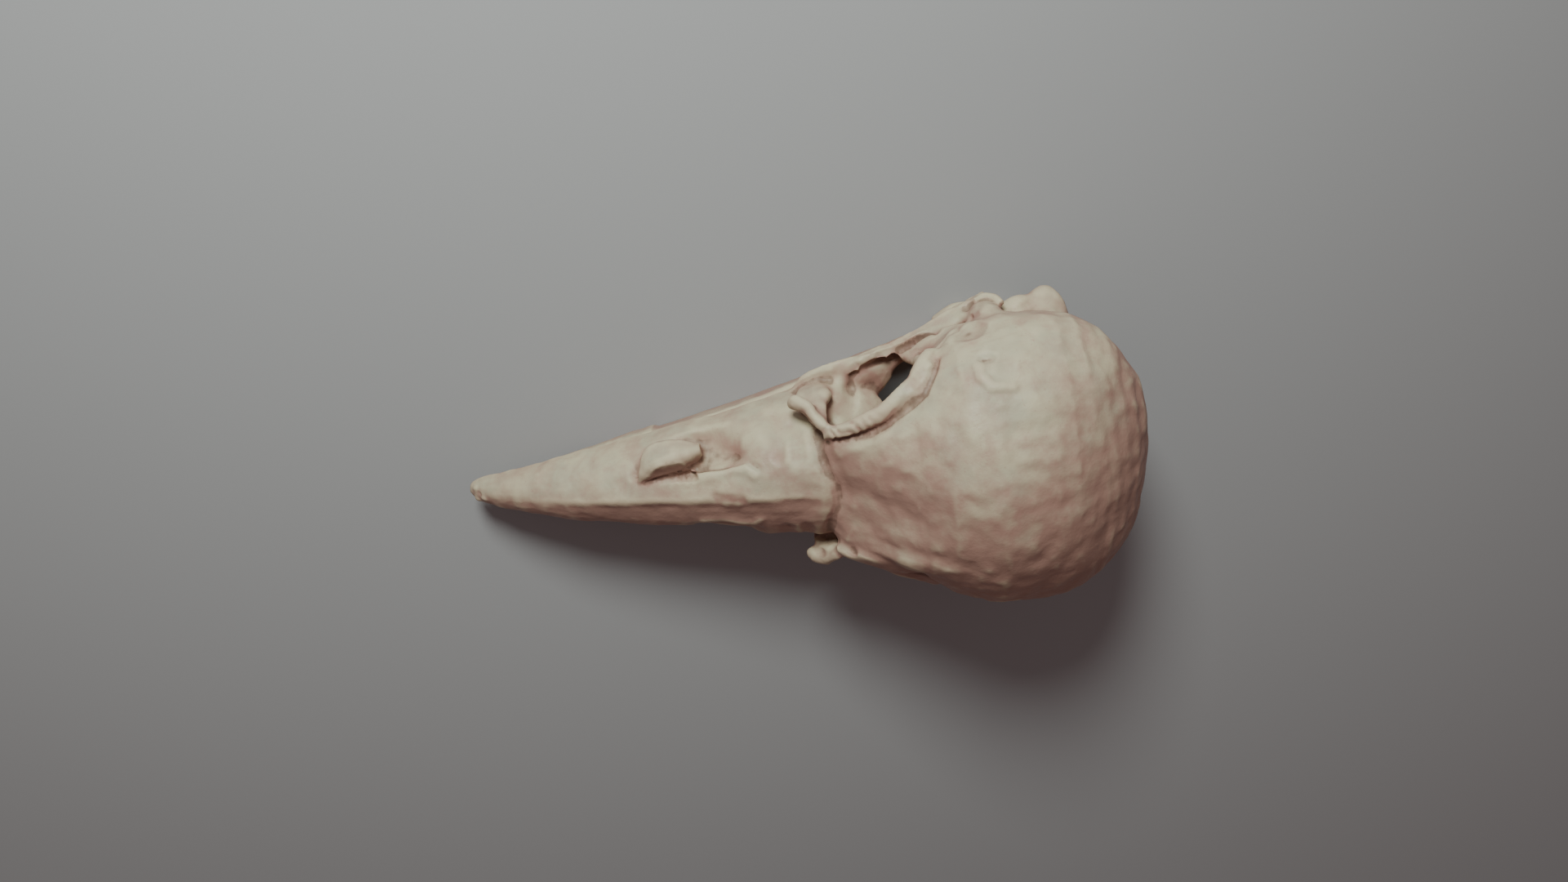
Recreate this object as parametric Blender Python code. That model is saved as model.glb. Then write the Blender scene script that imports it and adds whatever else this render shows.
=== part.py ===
"""Raven skull, life size, at rest on the lower edges of its closed lower jaw."""

import math

import bmesh
import bpy
import numpy as np
from mathutils import Matrix, Vector

# Units and frame
# Sizes are millimetres, and every mesh is made in metres from them. X runs back from the
# tip of the bill, Y to the bird's right and Z up, with the jaw joints a little below zero.
# The last step sets the skull on its table, with the origin under the middle of it.
MM = 0.001
GAP = 0.3

# Driving sizes
HINGE_X = 61.0
RIM_X = 64.5
RIM_HALF_WIDTH = 10.5
POSTORBITAL_X = 77.0
POSTORBITAL_HALF_WIDTH = 18.0
CRANIUM_X = 90.0
CRANIUM_HALF_WIDTH = 24.2
CRANIUM_ROOF = 34.4
OCCIPUT_X = 111.5
BILL_BASE_HALF_WIDTH = 12.4
JAW_JOINT = (87.0, 18.0, -3.2)
SYMPHYSIS_END = 31.0
JAW_MIDDLE_X = 60.0
FLAT_DEPTH = 0.2

# Resolution of the fused bones, and the faces that each keeps
VOXEL = 0.45
CORE_FACES = 5400
MANDIBLE_FACES = 1900

BONE_CREAM = (0.56, 0.52, 0.41)
BONE_GREY = (0.50, 0.49, 0.42)
BONE_BROWN = (0.40, 0.31, 0.24)


def profile(*points):
    """Return a smooth curve through a few (x, value) points that never overshoots them."""
    xs = np.array([p[0] for p in points], float)
    ys = np.array([p[1] for p in points], float)
    steps = np.diff(xs)
    slopes = np.diff(ys) / steps
    tangents = np.concatenate([slopes[:1], np.zeros(len(xs) - 2), slopes[-1:]])
    for i in range(1, len(xs) - 1):
        before, after = slopes[i - 1], slopes[i]
        if before * after > 0:
            tangents[i] = 2 * before * after / (before + after)

    def value(x):
        x = min(max(x, xs[0]), xs[-1])
        i = min(int(np.searchsorted(xs, x, side="right")) - 1, len(steps) - 1)
        t = (x - xs[i]) / steps[i]
        return float(
            ys[i] * (1 + 2 * t) * (1 - t) ** 2
            + ys[i + 1] * t * t * (3 - 2 * t)
            + steps[i] * t * (1 - t) * (tangents[i] * (1 - t) - tangents[i + 1] * t)
        )

    return value


# Side view of the bill and the braincase
CULMEN = profile(
    (0, 3.2), (1.5, 5.0), (5, 7.3), (14, 10.9), (28, 14.3), (44, 17.3), (54, 19.4), (HINGE_X, 20.4)
)
TOMIUM = profile((0, 2.2), (6, 3.3), (15, 4.6), (30, 5.1), (46, 4.9), (HINGE_X, 4.0))
ROOF = profile(
    (59, 19.4), (HINGE_X, 20.2), (63, 21.6), (68, 25.4), (74, 30.0), (80, 33.2),
    (CRANIUM_X - 4, CRANIUM_ROOF), (94, 33.4), (101, 30.0), (106, 26.0), (109.6, 22.0), (OCCIPUT_X, 17.9)
)
SKULL_BASE = profile(
    (59, 9.0), (66, 5.0), (74, 3.0), (82, 0.0), (88, -2.4), (95, -3.0), (101, -0.8), (106, 4.0),
    (109.6, 9.8), (OCCIPUT_X, 16.9)
)
WIDEST_LEVEL = profile(
    (59, 15.0), (HINGE_X, 17.0), (RIM_X, 18.7), (70, 19.2), (POSTORBITAL_X, 17.7), (82, 16.4),
    (CRANIUM_X, 15.4), (104, 16.4), (OCCIPUT_X, 17.4)
)
# Plan view
BILL_HALF_WIDTH = profile(
    (0, 0.9), (1.5, 2.0), (6, 3.3), (16, 5.2), (30, 7.6), (44, 9.9), (54, 11.7),
    (HINGE_X, BILL_BASE_HALF_WIDTH)
)
CRANIUM_WIDTH = profile(
    (59, 8.4), (61, 9.2), (62.5, 10.0), (RIM_X, RIM_HALF_WIDTH), (68, 11.5), (72, 14.0),
    (POSTORBITAL_X, POSTORBITAL_HALF_WIDTH), (82, 22.2), (CRANIUM_X, CRANIUM_HALF_WIDTH), (97, 24.0),
    (100, 23.3), (103, 21.6), (106, 19.1), (108.6, 15.5), (OCCIPUT_X - 0.8, 9.6), (OCCIPUT_X, 3.0)
)
# Lower jaw: upper edge, lower edge, and half widths along them
JAW_TOP = profile(
    (1.5, 1.5), (6, 2.7), (13, 3.8), (22, 4.1), (30, 4.3), (46, 4.1), (56, 3.2), (66, 2.2), (76, 0.6),
    (84, -3.0)
)
JAW_BOTTOM = profile(
    (1.5, 0.5), (8, 0.2), (20, -2.0), (31, -5.0), (40, -5.4), (56, -5.6), (72, -6.6), (84, -7.5)
)
JAW_TOP_WIDTH = profile(
    (1.5, 1.0), (6, 2.0), (16, 3.9), (30, 6.8), (46, 9.9), (56, 12.2), (70, 15.8), (86, 18.4)
)
JAW_BOTTOM_WIDTH = profile(
    (1.5, 0.6), (16, 1.8), (31, 3.6), (44, 6.2), (58, 9.4), (72, 12.8), (86, 16.4)
)
JAW_THICKNESS = profile((20, 2.6), (34, 2.2), (60, 1.9), (78, 2.2), (86, 3.4))


def clear_scene():
    for item in list(bpy.data.objects):
        bpy.data.objects.remove(item, do_unlink=True)


def bone_material(name, colour, roughness):
    material = bpy.data.materials.new(name)
    material.use_nodes = True
    shader = material.node_tree.nodes["Principled BSDF"]
    shader.inputs["Base Color"].default_value = (*colour, 1.0)
    shader.inputs["Roughness"].default_value = roughness
    shader.inputs["Metallic"].default_value = 0.0
    return material


def add_object(name, bm):
    """Write a bmesh to a new mesh object at the origin, with its faces pointing out."""
    bmesh.ops.recalc_face_normals(bm, faces=bm.faces[:])
    mesh = bpy.data.meshes.new(name)
    bm.to_mesh(mesh)
    bm.free()
    item = bpy.data.objects.new(name, mesh)
    bpy.context.scene.collection.objects.link(item)
    return item


def loft(name, rings):
    """Draw one closed skin over a row of rings that have the same number of points."""
    bm = bmesh.new()
    current = bmesh.ops.create_circle(bm, segments=len(rings[0]), radius=1.0)["verts"]
    rim = bm.edges[:]
    for vert, point in zip(current, rings[0]):
        vert.co = Vector(point) * MM
    for ring in rings[1:]:
        grown = bmesh.ops.extrude_edge_only(bm, edges=rim)["geom"]
        rim = [g for g in grown if isinstance(g, bmesh.types.BMEdge) and len(g.link_faces) == 1]
        fresh = {g for g in grown if isinstance(g, bmesh.types.BMVert)}
        current = [next(e.other_vert(v) for e in v.link_edges if e.other_vert(v) in fresh) for v in current]
        for vert, point in zip(current, ring):
            vert.co = Vector(point) * MM
    bmesh.ops.holes_fill(bm, edges=[edge for edge in bm.edges if edge.is_boundary], sides=0)
    return add_object(name, bm)


def power(value, exponent):
    return math.copysign(abs(value) ** exponent, value)


def arch_ring(x, half_width, level, top, bottom, squareness=2.0, base_squareness=2.0, points=40):
    """Return a cross-section whose widest level divides an upper and a lower half oval."""
    ring = []
    for i in range(points):
        angle = 2 * math.pi * i / points
        exponent = 2 / (squareness if math.sin(angle) >= 0 else base_squareness)
        reach = top - level if math.sin(angle) >= 0 else level - bottom
        ring.append((
            x,
            half_width * power(math.cos(angle), exponent),
            level + reach * power(math.sin(angle), exponent),
        ))
    return ring


def spread(start, end, count):
    return [start + (end - start) * i / (count - 1) for i in range(count)]


def ball(name, centre, radii, turn=(0, 0, 0), fineness=3):
    """Return an ellipsoid, turned by degrees about X, Y and Z."""
    bm = bmesh.new()
    rotation = Matrix.Identity(4)
    for axis, degrees in zip("XYZ", turn):
        rotation = Matrix.Rotation(math.radians(degrees), 4, axis) @ rotation
    stretch = Matrix.Diagonal((*(radius * MM for radius in radii), 1))
    place = Matrix.Translation(Vector(centre) * MM) @ rotation @ stretch
    bmesh.ops.create_icosphere(bm, subdivisions=fineness, radius=1.0, matrix=place)
    return add_object(name, bm)


def box(name, low, high):
    bm = bmesh.new()
    centre = (Vector(low) + Vector(high)) * MM / 2
    size = (Vector(high) - Vector(low)) * MM
    bmesh.ops.create_cube(bm, size=1.0, matrix=Matrix.Translation(centre) @ Matrix.Diagonal((*size, 1)))
    return add_object(name, bm)


def sweep(name, stations, steps=14, points=14, upright=(0, 0, 1)):
    """Return a rod through stations of (x, y, z, half width, half height)."""
    data = np.array(stations, float)
    travel = np.concatenate([[0], np.cumsum(np.linalg.norm(np.diff(data[:, :3], axis=0), axis=1))])
    tracks = [profile(*zip(travel, data[:, k])) for k in range(5)]
    samples = [np.array([track(s) for track in tracks]) for s in spread(0, travel[-1], steps)]
    rings = []
    for i, sample in enumerate(samples):
        before = samples[max(i - 1, 0)][:3]
        after = samples[min(i + 1, steps - 1)][:3]
        tangent = Vector(after - before).normalized()
        side = tangent.cross(Vector(upright)).normalized()
        rise = side.cross(tangent)
        centre = Vector(sample[:3])
        rings.append([
            centre + side * (sample[3] * math.cos(a)) + rise * (sample[4] * math.sin(a))
            for a in (2 * math.pi * k / points for k in range(points))
        ])
    return loft(name, rings)


def mirrored(item, name):
    """Return the left-hand copy of a right-hand piece."""
    bm = bmesh.new()
    bm.from_mesh(item.data)
    bmesh.ops.scale(bm, vec=(1, -1, 1), verts=bm.verts[:])
    return add_object(name, bm)


def both_sides(item):
    return [item, mirrored(item, item.name + "_left")]


def discard(items):
    for item in items:
        bpy.data.objects.remove(item, do_unlink=True)


def settle(item):
    """Replace the object's mesh by what its modifiers make of it."""
    graph = bpy.context.evaluated_depsgraph_get()
    mesh = bpy.data.meshes.new_from_object(item.evaluated_get(graph), depsgraph=graph)
    item.modifiers.clear()
    item.data = mesh


def gather(name, pieces):
    """Return one object that holds the meshes of all pieces."""
    bm = bmesh.new()
    for piece in pieces:
        bm.from_mesh(piece.data)
    discard(pieces)
    return add_object(name, bm)


def carve(item, cutters, solver="EXACT"):
    """Cut away what the cutters hold. The exact solver loses shells of the dense fused bones."""
    for cutter in cutters:
        boolean = item.modifiers.new("carve", "BOOLEAN")
        boolean.operation = "DIFFERENCE"
        boolean.solver = solver
        boolean.object = cutter
    settle(item)
    discard(cutters)


def fuse(name, pieces, faces, voxel=VOXEL, smoothing=3):
    """Grow overlapping pieces into one bone with soft joins and about so many faces."""
    item = gather(name, pieces)
    remesh = item.modifiers.new("grow together", "REMESH")
    remesh.mode = "VOXEL"
    remesh.voxel_size = voxel * MM
    smooth = item.modifiers.new("soften", "SMOOTH")
    smooth.factor = 0.5
    smooth.iterations = smoothing
    settle(item)
    thin_out = item.modifiers.new("thin out", "DECIMATE")
    thin_out.ratio = min(1.0, faces / (2 * len(item.data.polygons)))
    settle(item)
    keep_largest(item)
    return item


def shells(bm):
    """Return the connected surfaces of a bmesh as lists of faces."""
    left = set(bm.faces)
    found = []
    while left:
        seed = left.pop()
        shell = [seed]
        queue = [seed]
        while queue:
            for edge in queue.pop().edges:
                for face in edge.link_faces:
                    if face in left:
                        left.remove(face)
                        shell.append(face)
                        queue.append(face)
        found.append(shell)
    return found


def keep_largest(item):
    bm = bmesh.new()
    bm.from_mesh(item.data)
    groups = sorted(shells(bm), key=lambda shell: sum(f.calc_area() for f in shell), reverse=True)
    for shell in groups[1:]:
        bmesh.ops.delete(bm, geom=shell, context="FACES")
    bm.to_mesh(item.data)
    bm.free()


def part_out(item, places):
    """Split a cut bone into its surfaces, and name each after the nearest (name, point)."""
    bm = bmesh.new()
    bm.from_mesh(item.data)
    groups = []
    for shell in shells(bm):
        verts = {vert for face in shell for vert in face.verts}
        groups.append((sum(f.calc_area() for f in shell), shell, verts))
    nodes = []
    for name, point in places:
        target = Vector(point) * MM
        large = sorted(groups, key=lambda g: g[0], reverse=True)[: len(places)]
        area, shell, verts = min(large, key=lambda g: min((v.co - target).length for v in g[2]))
        piece = bmesh.new()
        copies = {vert: piece.verts.new(vert.co) for vert in verts}
        for face in shell:
            piece.faces.new([copies[vert] for vert in face.verts])
        nodes.append(add_object(name, piece))
    bm.free()
    discard([item])
    return nodes


def swollen(item, amount=GAP):
    """Return a copy whose surface stands out by the gap, to trim neighbours with."""
    copy = bpy.data.objects.new(item.name + "_swollen", item.data.copy())
    bpy.context.scene.collection.objects.link(copy)
    swell = copy.modifiers.new("swell", "DISPLACE")
    swell.strength = (amount + 0.1) * MM
    swell.mid_level = 0.0
    remesh = copy.modifiers.new("clean", "REMESH")
    remesh.mode = "VOXEL"
    remesh.voxel_size = VOXEL * MM
    settle(copy)
    thin_out = copy.modifiers.new("thin out", "DECIMATE")
    thin_out.ratio = min(1.0, len(item.data.polygons) / (2 * len(copy.data.polygons)))
    settle(copy)
    return copy


def upper_bill():
    """Upper bill with its nostrils, a claw of bone in the right one, a stub in the left, and a vault."""
    stations = [0, 0.5, 1.5, 3, 5, 8, 11, 15, 20, 25, 30, 35, 40, 44, 48, 52, 56, 59, 62]
    rings = []
    for x in stations:
        squareness = 2.0 + 0.35 * min(x / 40, 1)
        rings.append(arch_ring(
            x, BILL_HALF_WIDTH(x), TOMIUM(x) + 0.3, CULMEN(x), TOMIUM(x) - 0.1, squareness, 5.0
        ))
    bill = loft("bill", rings)
    vault = ball("vault", (51, 0, 2.6), (17, 5.3, 4.6))
    nostril = ball("nostril", (42.8, 10.2, 14.4), (10.6, 5.7, 4.9), turn=(0, -12, 4))
    carve(bill, [vault] + both_sides(nostril))
    claw = sweep("claw", [
        (31.2, 3.5, 13.9, 0.5, 0.5), (32.8, 5.4, 13.2, 2.1, 1.9), (35.2, 6.7, 12.9, 2.9, 2.4),
        (38.2, 7.0, 13.0, 2.6, 2.2), (40.4, 6.9, 13.2, 2.1, 1.7), (41.6, 6.9, 13.1, 1.3, 1.1)
    ])
    stub = sweep("stub", [
        (32.0, -3.2, 11.0, 0.9, 1.0), (34.5, -4.5, 12.0, 1.6, 1.6), (38.0, -5.2, 12.4, 1.5, 1.5),
        (40.2, -5.6, 12.4, 0.9, 0.9)
    ])
    return [bill, claw, stub]


def cranium():
    """Forehead, braincase and the wall between the eyes, with the sockets carved out."""
    stations = [
        59, 60, 61, 62, 63, 64.5, 66, 68, 70, 72, 74, 76.5, 79, 82, 86, 90, 94, 97, 100, 103, 105.5,
        108, 109.8, 110.9, 111.4
    ]
    rings = [
        arch_ring(x, CRANIUM_WIDTH(x), WIDEST_LEVEL(x), ROOF(x), SKULL_BASE(x), 2.0, 2.0, 48)
        for x in stations
    ]
    dome = loft("dome", rings)
    socket = ball("socket", (70.0, 15.6, 9.6), (9.8, 14.8, 9.7), fineness=4)
    hollow_below = ball("hollow_below", (72.5, 13.0, 1.0), (10.5, 11.4, 7.5))
    temple = ball("temple", (83.5, 27.2, 15.0), (5.4, 5.4, 6.6))
    ear = ball("ear", (88.0, 20.5, 2.0), (6.4, 8.0, 6.4))
    foramen = ball("foramen", (105.6, 0, 5.4), (4.6, 4.4, 3.8), turn=(0, 40, 0))
    window = ball("window", (71.5, 0, 11.5), (2.6, 3.0, 2.2))
    hollows = [hollow for cutter in (socket, hollow_below, temple, ear) for hollow in both_sides(cutter)]
    carve(dome, hollows + [foramen, window], "MANIFOLD")
    rim = sweep("rim", [
        (61.0, 10.2, 18.6, 0.9, 0.9), (62.8, 10.9, 19.4, 1.1, 1.1),
        (RIM_X + 0.8, RIM_HALF_WIDTH + 1.3, 20.2, 1.2, 1.2), (68.6, 13.2, 20.9, 1.2, 1.2),
        (71.4, 14.8, 21.0, 1.2, 1.2), (73.6, 16.6, 20.2, 1.2, 1.2), (76.3, 18.5, 18.8, 1.3, 1.3),
        (77.9, 20.1, 17.0, 1.2, 1.2), (79.0, 20.9, 15.8, 0.6, 0.6)
    ], steps=26)
    front_wall = ball("front_wall", (65.8, 7.0, 7.2), (6.4, 5.6, 3.4), turn=(-30, 12, 14))
    flap = ball("flap", (88.9, 20.6, 6.6), (3.0, 3.1, 6.0), turn=(-14, 0, 0))
    shelf = ball("shelf", (95.3, 19.0, 2.8), (3.7, 3.4, 2.4))
    spur = sweep("spur", [
        (86, 19.6, 10.6, 2.4, 2.6), (82.6, 19.3, 9.0, 2.0, 2.0), (79.4, 18.0, 8.2, 1.6, 1.7),
        (76.6, 16.6, 7.2, 1.0, 1.1), (74.9, 16.2, 6.4, 0.6, 0.6)
    ])
    wing = ball("wing", (99.2, 15.2, 4.6), (4.9, 8.9, 3.8), turn=(-26, 0, -8))
    condyle = ball("condyle", (102.6, 0, 2.6), (1.7, 1.9, 1.5))
    rostrum = sweep("rostrum", [
        (49, 0, 6.0, 0.9, 1.3), (58, 0, 5.2, 1.1, 1.5), (68, 0, 3.8, 1.3, 1.6), (78, 0, 2.2, 1.8, 1.8),
        (86, 0, 1.4, 4.0, 2.4)
    ])
    wall = box("wall", (61, -0.8, 4), (76, 0.8, 20))
    carve(wall, [ball("window_again", (71.5, 0, 11.5), (2.6, 3.0, 2.2))])
    halves = (rim, front_wall, flap, shelf, spur, wing)
    paired = [form for half in halves for form in both_sides(half)]
    return [dome, condyle, rostrum, wall] + paired


def skull_core():
    """Grow the fused bones together, then part them with thin cuts into named nodes.

    The first thing returned is a slightly swollen copy of the whole, to trim the small bones with.
    """
    core = fuse("core", upper_bill() + cranium(), CORE_FACES)
    block = swollen(core)
    half = GAP / 2
    wall_top = 16.4
    cuts = [
        box("hinge_cut", (HINGE_X - half, -16, 2.4), (HINGE_X + half, 16, 26)),
        box("forehead_cut", (75 - half, -24, 13.0), (75 + half, 24, 36)),
        box("wall_cut", (75 - half, -7, -3), (75 + half, 7, 14)),
        box("roof_cut", (HINGE_X - 0.1, -13, wall_top - half), (75 + 0.1, 13, wall_top + half)),
    ]
    carve(core, cuts, "MANIFOLD")
    return block, part_out(core, [
        ("upper_bill", (30, 0, 13)), ("frontal", (67, 0, 24)),
        ("interorbital_septum", (66, 0, 8)), ("braincase", (90, 0, 34)),
    ])


def lacrimal():
    """Hooked bone at the front of the socket, with its foot on the cheek bar."""
    hook = sweep("hook", [
        (62.4, 11.0, 19.0, 0.9, 0.9), (61.2, 12.0, 18.4, 1.1, 1.1), (60.2, 13.0, 17.4, 1.1, 1.1),
        (59.2, 14.1, 16.2, 1.2, 1.1), (57.8, 14.2, 14.8, 1.5, 1.3), (56.8, 13.6, 13.6, 0.9, 0.9)
    ], steps=18)
    foot = sweep("foot", [
        (61.0, 11.8, 17.6, 1.0, 1.3), (61.0, 12.8, 13.8, 0.9, 1.7), (61.2, 13.0, 10.0, 0.9, 1.9),
        (61.8, 12.6, 6.6, 1.0, 2.0)
    ], upright=(1, 0, 0))
    return fuse("lacrimal", [hook, foot], 330, voxel=0.4, smoothing=2)


def jugal_bar():
    """Cheek bar, a flat plate in front that narrows to a rod behind."""
    bar = sweep("bar", [
        (57.0, 10.4, 4.9, 1.6, 1.3), (61, 11.8, 5.0, 3.3, 0.9), (65, 14.2, 5.3, 2.3, 0.9),
        (69.3, 16.0, 5.3, 1.3, 0.8), (73, 17.3, 5.1, 1.1, 0.8), (78, 18.9, 4.7, 1.1, 0.9),
        (83, 20.4, 3.8, 1.3, 1.1), (87.0, 21.6, 2.8, 1.4, 1.2), (90.2, 22.2, 2.2, 1.7, 1.5)
    ], steps=24)
    return fuse("jugal_bar", [bar], 300, voxel=0.4, smoothing=2)


def quadrate():
    """Bone that hangs the lower jaw and pushes the cheek bar."""
    x, y, z = JAW_JOINT
    body = sweep("body", [
        (89.2, 16.6, 9.6, 2.3, 2.0), (88.0, 16.9, 5.4, 1.9, 1.6), (87.2, 17.3, 1.4, 2.3, 2.0),
        (x, y - 0.4, z, 3.0, 2.7)
    ], upright=(1, 0, 0))
    spur = sweep("spur", [
        (87.0, 16.8, 3.4, 1.7, 1.7), (82.6, 15.2, 4.4, 1.2, 1.5), (79.2, 13.9, 4.4, 1.0, 1.0),
        (77.6, 13.3, 4.2, 0.7, 0.8)
    ])
    cup = ball("cup", (88.6, 20.2, -0.2), (2.0, 2.0, 1.9))
    knob = ball("knob", (85.0, 14.2, -1.2), (1.8, 1.8, 1.6))
    return fuse("quadrate", [body, spur, cup, knob], 430, voxel=0.4, smoothing=2)


def pterygoid():
    """Rod from the quadrate to the keel of the palate."""
    rod = sweep("rod", [
        (85.6, 14.6, -1.2, 1.6, 1.4), (83.2, 11.8, -0.4, 1.3, 1.2), (78.0, 6.4, 1.0, 1.0, 1.0),
        (72.2, 1.6, 2.2, 1.4, 1.1)
    ])
    return fuse("pterygoid", [rod], 180, voxel=0.4, smoothing=2)


def palatine():
    """Flat bone of the roof of the mouth, widest behind."""
    plate = sweep("plate", [
        (44, 3.8, 4.6, 1.3, 0.8), (54, 5.2, 3.8, 2.2, 0.8), (60, 6.8, 3.3, 4.0, 0.9),
        (66, 9.4, 3.6, 4.4, 1.2), (70, 12.0, 3.9, 3.4, 1.6), (72.8, 13.9, 3.9, 2.6, 1.5),
        (74.8, 15.0, 3.5, 1.5, 1.1), (77.2, 14.9, 2.8, 1.0, 0.8)
    ], steps=22)
    return fuse("palatine", [plate], 280, voxel=0.4, smoothing=2)


def ramus_ring(x, points=20):
    """Cross-section of one branch of the lower jaw: a leaning, rounded slab."""
    top = Vector((x, JAW_TOP_WIDTH(x), JAW_TOP(x)))
    bottom = Vector((x, JAW_BOTTOM_WIDTH(x), JAW_BOTTOM(x)))
    along = (top - bottom) / 2
    across = Vector((0, along.z, -along.y)).normalized() * JAW_THICKNESS(x) / 2
    centre = (top + bottom) / 2 - across
    ring = []
    for i in range(points):
        angle = 2 * math.pi * i / points
        ring.append(centre + across * power(math.cos(angle), 0.6) + along * power(math.sin(angle), 0.6))
    return ring


def mandible():
    """Lower jaw: joined front part, two branches, and the cups and spurs behind."""
    front_rings = []
    for x in spread(1.5, SYMPHYSIS_END + 2, 14):
        width = JAW_TOP_WIDTH(x)
        front_rings.append(arch_ring(x, width, JAW_TOP(x) - 0.5, JAW_TOP(x), JAW_BOTTOM(x), 5.0, 1.9))
    front = loft("front", front_rings)
    scoop = ball("scoop", (SYMPHYSIS_END + 5, 0, 0), (11, 4.6, 7.0))
    carve(front, [scoop])
    branch = loft("branch", [ramus_ring(x) for x in spread(22, 86, 30)])
    x, y, z = JAW_JOINT
    cup = sweep("cup", [
        (82.5, 16.0, -4.8, 1.4, 2.6), (x, y - 1.0, -5.3, 2.6, 2.2), (91, 16.8, -5.6, 2.1, 1.9),
        (95, 16.8, -5.8, 1.5, 1.6), (97.6, 16.6, -5.6, 0.8, 0.9)
    ])
    inner = sweep("inner", [
        (x, 16, -5.4, 2.4, 2.0), (x + 0.6, 12.4, -5.0, 1.6, 1.4), (x + 1.0, 9.8, -4.4, 0.7, 0.7)
    ])
    paired = [form for half in (branch, cup, inner) for form in both_sides(half)]
    return fuse("jaw", [front] + paired, MANDIBLE_FACES, voxel=0.4)


def seat_on_table(nodes):
    """Turn the skull until the jaw's lower edges are level, shave them flat and move it to the origin."""
    jaw = [node for name, node in nodes.items() if name.startswith("mandible")]
    edges = [vert.co.copy() for node in jaw for vert in node.data.vertices]
    front = min((point for point in edges if point.x < JAW_MIDDLE_X * MM), key=lambda point: point.z)
    rear = min((point for point in edges if point.x >= JAW_MIDDLE_X * MM), key=lambda point: point.z)
    turn = Matrix.Rotation(-math.atan2(front.z - rear.z, rear.x - front.x), 4, "Y")
    for node in nodes.values():
        node.data.transform(turn)
    table_level = (turn @ rear).z + FLAT_DEPTH * MM
    for node in jaw:
        below = box("table", (-20, -40, table_level / MM - 10), (130, 40, table_level / MM))
        carve(node, [below], "MANIFOLD")
    points = np.array([vert.co[:] for node in nodes.values() for vert in node.data.vertices])
    middle = (points.min(axis=0) + points.max(axis=0)) / 2
    shift = Matrix.Translation((-middle[0], -middle[1], -table_level))
    for node in nodes.values():
        node.data.transform(shift)
    return shift @ turn


def trim(item, block, neighbours):
    """Stand a small bone off from the fused bones and from the neighbours that it would run into."""
    spare = bpy.data.objects.new("spare", block.data.copy())
    bpy.context.scene.collection.objects.link(spare)
    carve(item, [spare] + [swollen(neighbour) for neighbour in neighbours], "MANIFOLD")
    keep_largest(item)


def main():
    clear_scene()
    block, core = skull_core()
    nodes = {node.name: node for node in core}

    right = {"quadrate": quadrate(), "lacrimal": lacrimal()}
    trim(right["quadrate"], block, [])
    trim(right["lacrimal"], block, [])
    right["jugal_bar"] = jugal_bar()
    trim(right["jugal_bar"], block, [right["quadrate"], right["lacrimal"]])
    right["palatine"] = palatine()
    trim(right["palatine"], block, [right["jugal_bar"], right["quadrate"]])
    right["pterygoid"] = pterygoid()
    trim(right["pterygoid"], block, [right["quadrate"], right["palatine"]])
    discard([block])
    for name, item in right.items():
        item.name = name + "_right"
        nodes[item.name] = item
        left = mirrored(item, name + "_left")
        nodes[left.name] = left

    jaw = mandible()
    joint_floor = JAW_JOINT[2] - 0.6
    table_parts = [box("joint_space", (80, -24, joint_floor), (93, 24, 5))]
    carve(jaw, table_parts, "MANIFOLD")
    for side in ("quadrate_right", "quadrate_left"):
        carve(nodes[side], [box("joint_plane", (80, -24, -9), (95, 24, joint_floor + GAP))], "MANIFOLD")
    half = GAP / 2
    carve(jaw, [box("chin_cut", (SYMPHYSIS_END - half, -12, -9), (SYMPHYSIS_END + half, 12, 6))], "MANIFOLD")
    for node in part_out(jaw, [
        ("mandible_symphysis", (10, 0, -1)), ("mandible_ramus_right", (70, 13, -2)),
        ("mandible_ramus_left", (70, -13, -2))
    ]):
        nodes[node.name] = node

    seat = seat_on_table(nodes)
    cream = bone_material("bone cream", BONE_CREAM, 0.6)
    grey = bone_material("bone grey", BONE_GREY, 0.6)
    brown = bone_material("bone brown", BONE_BROWN, 0.65)
    finish = {"upper_bill": cream, "frontal": cream, "braincase": cream, "interorbital_septum": brown}
    for name, node in nodes.items():
        node.data.materials.clear()
        node.data.materials.append(finish.get(name, grey))
        node.data.shade_smooth()
        node.data.set_sharp_from_angle(angle=math.radians(40))
    return seat


if __name__ == "__main__":
    main()
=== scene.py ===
"""Raven skull, life size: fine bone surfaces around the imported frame, lying on a pale floor."""

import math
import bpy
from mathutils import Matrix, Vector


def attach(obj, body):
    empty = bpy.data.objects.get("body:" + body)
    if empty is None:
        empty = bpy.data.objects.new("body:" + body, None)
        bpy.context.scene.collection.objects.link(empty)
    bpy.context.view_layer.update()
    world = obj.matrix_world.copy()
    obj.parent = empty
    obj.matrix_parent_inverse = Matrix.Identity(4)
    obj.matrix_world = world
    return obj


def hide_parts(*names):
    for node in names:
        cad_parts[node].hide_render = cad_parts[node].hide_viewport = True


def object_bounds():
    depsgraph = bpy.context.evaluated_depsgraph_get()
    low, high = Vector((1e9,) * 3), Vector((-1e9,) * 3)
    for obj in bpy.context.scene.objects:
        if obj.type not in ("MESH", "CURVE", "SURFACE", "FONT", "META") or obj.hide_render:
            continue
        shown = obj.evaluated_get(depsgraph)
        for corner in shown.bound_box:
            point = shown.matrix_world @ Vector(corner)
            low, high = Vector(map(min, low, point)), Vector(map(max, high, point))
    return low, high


bl_info = {
    "name": "Raven Skull",
    "version": (1, 0, 0),
    "blender": (4, 5, 0),
    "location": "3D View > Sidebar > Raven Skull",
    "description": "Dresses the frame of a raven skull with fine bone surfaces and sets its stage",
    "category": "Add Mesh",
}

import bmesh
import bpy
import numpy as np
from bpy.props import FloatProperty, FloatVectorProperty, IntProperty, PointerProperty
from mathutils import Matrix, Vector, noise

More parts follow.
